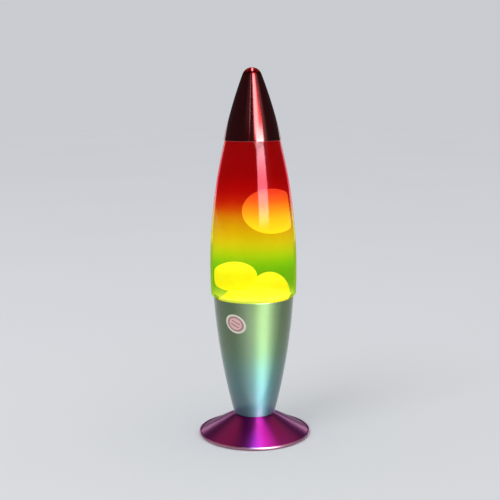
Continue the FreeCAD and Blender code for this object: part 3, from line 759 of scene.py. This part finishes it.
def profile_of(node, bins):
    """The widest radius of a CAD node at evenly spaced heights."""
    mesh = NODES[node].data
    low, high = box(node)
    widest = [0.0] * (bins + 1)
    step = (high.z - low.z) / bins
    for polygon in mesh.polygons:
        corners = [mesh.vertices[i].co for i in polygon.vertices]
        for a, b in zip(corners, corners[1:] + corners[:1]):
            first = math.ceil((min(a.z, b.z) - low.z) / step - 1e-6)
            last = math.floor((max(a.z, b.z) - low.z) / step + 1e-6)
            for k in range(max(first, 0), min(last, bins) + 1):
                z = low.z + k * step
                rise = b.z - a.z
                share = 0.0 if abs(rise) < 1e-12 else min(max((z - a.z) / rise, 0.0), 1.0)
                at = a.lerp(b, share)
                widest[k] = max(widest[k], math.hypot(at.x, at.y))
    return [(radius, low.z + k * step) for k, radius in enumerate(widest)]


def turned_mesh(name, profile, around):
    """A surface turned from (radius, height) points; a radius of zero closes it."""
    mesh = bpy.data.meshes.new(name)
    bm = bmesh.new()
    rows = []
    for radius, z in profile:
        if radius < 1e-6:
            rows.append([bm.verts.new((0.0, 0.0, z))])
            continue
        ring = []
        for k in range(around):
            angle = 2 * math.pi * k / around
            ring.append(bm.verts.new((radius * math.sin(angle), radius * math.cos(angle), z)))
        rows.append(ring)
    for low, high in zip(rows, rows[1:]):
        for k in range(around):
            beside = (k + 1) % around
            if len(low) == 1:
                bm.faces.new((low[0], high[beside], high[k]))
            elif len(high) == 1:
                bm.faces.new((low[k], low[beside], high[0]))
            else:
                bm.faces.new((low[k], low[beside], high[beside], high[k]))
    bmesh.ops.recalc_face_normals(bm, faces=bm.faces)
    bm.to_mesh(mesh)
    bm.free()
    return mesh


def liquid():
    """The liquid's outer skin, just inside the glass, with a meniscus where it ends."""
    low, high = box("fluid")
    gap = 0.25 * MM
    air = 1.2 * MM
    climb = 1.0 * MM
    climb_width = 0.09
    flat_width = 0.85
    around = 144
    wall = [(radius - gap, z) for radius, z in profile_of("fluid", 110)]
    wall[0] = (wall[1][0] - (wall[2][0] - wall[1][0]), low.z)
    level = high.z - air
    skin = [(0.0, low.z)] + [(wall[0][0] * k / 6, low.z) for k in range(1, 6)]
    skin += [point for point in wall if point[1] < level]
    rim = skin[-1][0]
    for k in range(1, 7):
        share = k / 7
        skin.append((rim * (1 - climb_width * share), level + climb * (1 - share) ** 2))
    skin += [(rim * flat_width * (1 - k / 8), level) for k in range(8)] + [(0.0, level)]
    obj = link("liquid_body", turned_mesh("liquid_body", skin, around), MATERIALS["clear_liquid"])
    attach(obj, "bottle")
    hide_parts("fluid")


liquid()


def circle_through(a, b, c):
    """The centre and the radius of the circle through three (radius, height) points."""
    twice = 2 * (a[0] * (b[1] - c[1]) + b[0] * (c[1] - a[1]) + c[0] * (a[1] - b[1]))
    square = [x**2 + y**2 for x, y in (a, b, c)]
    x = (square[0] * (b[1] - c[1]) + square[1] * (c[1] - a[1]) + square[2] * (a[1] - b[1])) / twice
    y = (square[0] * (c[0] - b[0]) + square[1] * (a[0] - c[0]) + square[2] * (b[0] - a[0])) / twice
    return x, y, math.hypot(a[0] - x, a[1] - y)


def cap_skin(bow, inset, low_z, rows, tip_rows):
    """(radius, height) points up one side of the cap: a bow, then a ball tip that touches it."""
    centre_r, centre_z, radius = bow[0], bow[1], bow[2] - inset
    drop = centre_z - (TALL - inset)
    ball = (radius**2 - centre_r**2 - drop**2) / (2 * (drop + radius))
    ball_z = TALL - inset - ball
    touch = math.atan2(ball_z - centre_z, -centre_r)
    start = math.asin((low_z - centre_z) / radius)
    skin = []
    for k in range(rows):
        angle = start + (touch - start) * k / rows
        skin.append((centre_r + radius * math.cos(angle), centre_z + radius * math.sin(angle)))
    for k in range(tip_rows):
        angle = touch + (math.pi / 2 - touch) * k / tip_rows
        skin.append((ball * math.cos(angle), ball_z + ball * math.sin(angle)))
    return skin + [(0.0, TALL - inset)]


def cap():
    """The cap, turned afresh in even rows, so that the light runs down it without a ripple."""
    low, high = box("top_cap")
    edge = high.x
    wall = 0.5 * MM
    around = 168
    halfway, near_tip = (20.9 * MM, 368.0 * MM), (10.4 * MM, 398.5 * MM)
    bow = circle_through((edge, low.z), halfway, near_tip)
    outer = cap_skin(bow, 0.0, low.z + 0.20 * MM, rows=90, tip_rows=16)
    inner = cap_skin(bow, wall, low.z + 0.15 * MM, rows=30, tip_rows=8)
    lip = [
        (edge - 0.50 * MM, low.z + 0.04 * MM),
        (edge - 0.38 * MM, low.z),
        (edge - 0.20 * MM, low.z),
        (edge - 0.06 * MM, low.z + 0.06 * MM),
    ]
    skin = turned_mesh("top_cap_shell", inner[::-1] + lip + outer, around)
    obj = link("top_cap_shell", skin, MATERIALS["cap_anodised"])
    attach(obj, "top_cap")
    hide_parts("top_cap")


cap()


def coil():
    """The ring of springy wire that lies in the pool, wound as a long spring joined end to end."""
    low, high = box("heat_coil")
    tube = (high.z - low.z) / 2
    ring = high.x - tube
    wire = 0.42 * MM
    winding = tube - 1.4 * wire
    middle = (low.z + high.z) / 2
    turns = 64
    per_turn = 12
    count = turns * per_turn
    curve = bpy.data.curves.new("coil_wire_ring", "CURVE")
    curve.dimensions = "3D"
    curve.bevel_depth = wire
    curve.bevel_resolution = 2
    spline = curve.splines.new("NURBS")
    spline.points.add(count - 1)
    for k in range(count):
        round_ring = 2 * math.pi * k / count
        round_tube = 2 * math.pi * k / per_turn
        reach = ring + winding * math.cos(round_tube)
        height = middle + winding * math.sin(round_tube)
        x, y = reach * math.cos(round_ring), reach * math.sin(round_ring)
        spline.points[k].co = (x, y, height, 1.0)
    spline.order_u = 3
    spline.use_cyclic_u = True
    holder = bpy.data.objects.new("coil_wire_shape", curve)
    bpy.context.scene.collection.objects.link(holder)
    shown = holder.evaluated_get(bpy.context.evaluated_depsgraph_get())
    mesh = bpy.data.meshes.new_from_object(shown)
    bpy.data.objects.remove(holder)
    obj = link("coil_wire_ring", mesh, MATERIALS["coil_wire"])
    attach(obj, "bottle")
    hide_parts("heat_coil")


coil()


# --- Stage, light and camera ----------------------------------------------------------------------
FLOOR_TONE = (0.68, 0.69, 0.71)
SKY_TONE = (0.86, 0.87, 0.89)
REFLECTED_TONE = (0.055, 0.055, 0.062)
# The lights that run from front to back stand this far to the right of the lamp, in metres
ASIDE = 0.05


def floor():
    """A wide, plain studio floor."""
    g = new_material("studio_floor")
    coords, *_ = g.place()
    cloud = g.noise(coords, scale=1.3, detail=3.0, rough=0.5)
    shade = g.vary(cloud, 0.99, 1.01)
    colour = g.shaded(FLOOR_TONE, shade)
    shader = g.principled(Base_Color=colour, Roughness=0.9, Specular_IOR_Level=0.0)
    rings = [(reach, 0.0) for reach in (0.0, 0.3, 1.2, 3.0, 9.0)]
    obj = link("studio_floor", turned_mesh("studio_floor", rings, 96), g.surface(shader))
    obj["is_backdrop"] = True


floor()


def world():
    """A pale room for the eye and for soft light, but a dim one in reflections."""
    sky = bpy.data.worlds.new("studio")
    bpy.context.scene.world = sky
    g = Graph(sky, "World")
    path = g.add("LightPath")

    def shade(colour):
        node = g.add("Background")
        g.join(colour, node.inputs["Color"])
        return node

    far_floor = tuple(a * b for a, b in zip(FLOOR_TONE, SKY_TONE))
    lit = g.mixed(path.outputs["Is Glossy Ray"], shade(SKY_TONE), shade(REFLECTED_TONE))
    g.surface(g.mixed(path.outputs["Is Camera Ray"], lit, shade(far_floor)))


world()


def area_light(name, width, length, radiance, colour=WHITE, shade=None):
    """A rectangle of light that the camera doesn't see.

    shade is a function of the light's graph that gives its brightness from point to point.
    """
    light = bpy.data.lights.new(name, "AREA")
    light.shape = "RECTANGLE"
    light.size = width
    light.size_y = length
    light.energy = radiance * math.pi * width * length
    light.color = colour
    if shade:
        g = Graph(light, "Light")
        g.surface(g.emission(WHITE, shade(g)))
    obj = bpy.data.objects.new(name, light)
    bpy.context.scene.collection.objects.link(obj)
    obj.visible_camera = False
    return obj


def panel(
    name,
    azimuth,
    distance,
    low,
    high,
    width,
    radiance,
    fade=0.0,
    top=0.0,
    soft=(0.0, 0.0),
    mirrored=True,
):
    """A light panel that faces the lamp. azimuth is in degrees to the right of the front.

    A mirrored panel is only seen in reflections, as a card beside the camera is. The others give
    soft light and aren't mirrored. fade is the share of the height over which the foot dies away,
    and soft are the shares of the width over which the sides do, the one that shows on the left
    first. top is the share of the height over which the head dims, but not all the way.
    """
    narrowest = 0.001
    head_light = 0.3

    def shade(g):
        split = g.add("SeparateXYZ")
        g.join(g.add("NewGeometry").outputs["Parametric"], split.inputs[0])
        left = g.spread(split.outputs[0], 0.0, max(soft[0], narrowest), smooth=True)
        right = g.spread(split.outputs[0], 1.0, 1.0 - max(soft[1], narrowest), smooth=True)
        sides = g.math("MULTIPLY", left, right)
        foot = g.spread(split.outputs[1], 0.0, max(fade, narrowest), smooth=True)
        under_head = 1.0 - max(top, narrowest)
        head = g.spread(split.outputs[1], 1.0, under_head, head_light, 1.0, smooth=True)
        return g.math("MULTIPLY", sides, g.math("MULTIPLY", foot, head))

    shaded = fade or top or any(soft)
    obj = area_light(name, width, high - low, radiance, shade=shade if shaded else None)
    turn = math.radians(azimuth)
    place = Vector((distance * math.sin(turn), -distance * math.cos(turn), (low + high) / 2))
    obj.location = place
    aim = Vector((0, 0, TALL * 0.55)) - place
    obj.rotation_euler = aim.to_track_quat("-Z", "Y").to_euler()
    obj.visible_glossy = mirrored
    obj.visible_diffuse = not mirrored


def overhead(name, forward, back, width, height, radiance, colour):
    """A strip of light above the lamp, running from front to back, that only reflections show."""
    obj = area_light(name, width, forward + back, radiance, colour)
    obj.location = (ASIDE, (back - forward) / 2, height)
    obj.visible_diffuse = False


def floor_card(name, near, far, width, radiance):
    """A bright card on the floor in front of the lamp, that only reflections show.

    It is brightest 28 degrees to the right of the front, dies away to both sides, and gets
    brighter from near to far.
    """
    leftmost, rightmost = -60.0, 105.0
    # Degrees to the right of the front, and the share of the light there
    stops = [
        (leftmost, 0.0),
        (-35.0, 0.18),
        (-17.0, 0.42),
        (0.0, 0.52),
        (10.0, 0.74),
        (20.0, 1.0),
        (36.0, 1.0),
        (50.0, 0.50),
        (66.0, 0.18),
        (rightmost, 0.0),
    ]
    placed = [((angle - leftmost) / (rightmost - leftmost), (share,) * 3) for angle, share in stops]

    def shade(g):
        split = g.add("SeparateXYZ")
        g.join(g.add("NewGeometry").outputs["Position"], split.inputs[0])
        turn = g.math("ARCTAN2", split.outputs[0], g.math("MULTIPLY", split.outputs[1], -1.0))
        spot = g.spread(turn, math.radians(leftmost), math.radians(rightmost))
        around = g.ramp(spot, placed)
        out = g.vector("LENGTH", g.add("NewGeometry").outputs["Position"])
        return g.math("MULTIPLY", around, g.spread(out, near, far, 0.60, 1.25))

    obj = area_light(name, width, far - near, radiance, shade=shade)
    obj.location = (ASIDE, -(near + far) / 2, 2.0 * MM)
    obj.rotation_euler = (math.pi, 0.0, 0.0)
    obj.visible_diffuse = False


# Name, azimuth in degrees, then distance, low edge, high edge and width in metres, and radiance
panel("strip_low", 30.5, 1.5, 0.24, 0.99, 0.86, 18.5, fade=0.25, top=0.20, soft=(0.08, 0.08))
panel("strip_high", 22.5, 1.5, 0.99, 1.95, 0.98, 8.4, soft=(0.20, 0.55))
panel("strip_halo", 38.0, 1.9, 0.30, 2.30, 2.60, 0.55, fade=0.2, soft=(0.4, 0.4))
panel("strip_left", -13.0, 1.5, 0.98, 1.95, 0.07, 2.4, fade=0.2)
panel("strip_dim", -27.0, 1.5, 0.98, 1.95, 0.80, 0.10, fade=0.2, soft=(0.4, 0.3))
panel("edge_left", -152.0, 1.5, 0.02, 0.42, 0.40, 1.6)
panel("edge_right", 152.0, 1.5, 0.02, 0.42, 0.40, 1.6)
# Name, near edge, far edge and width in metres, and radiance
floor_card("cup_card", 0.067, 0.47, 0.95, 2.7)
# Name, reach to the front and to the back, width and height in metres, radiance and colour
overhead("foot_strip", 0.2, 1.6, 0.28, 1.8, 33.0, (0.30, 1.0, 1.0))
overhead("foot_fill", -0.3, 2.4, 3.0, 1.9, 0.60, (1.0, 0.60, 0.36))
panel("soft_key", -40.0, 1.9, 1.70, 2.90, 1.30, 3.6, mirrored=False)


def camera():
    """Looks down at the lamp from the front, a little from the left."""
    down, roll = 9.3, -0.45
    data = bpy.data.cameras.new("view")
    data.lens = 72.0
    data.sensor_width = 36.0
    data.clip_end = 40.0
    obj = bpy.data.objects.new("view", data)
    bpy.context.scene.collection.objects.link(obj)
    obj.location = (-3.6 * MM, -1.085, 0.386)
    obj.rotation_mode = "XYZ"
    obj.rotation_euler = (math.radians(90.0 - down), 0.0, 0.0)
    obj.rotation_euler.rotate_axis("Z", math.radians(roll))
    bpy.context.scene.camera = obj


camera()
bpy.context.scene.view_settings.view_transform = "Standard"
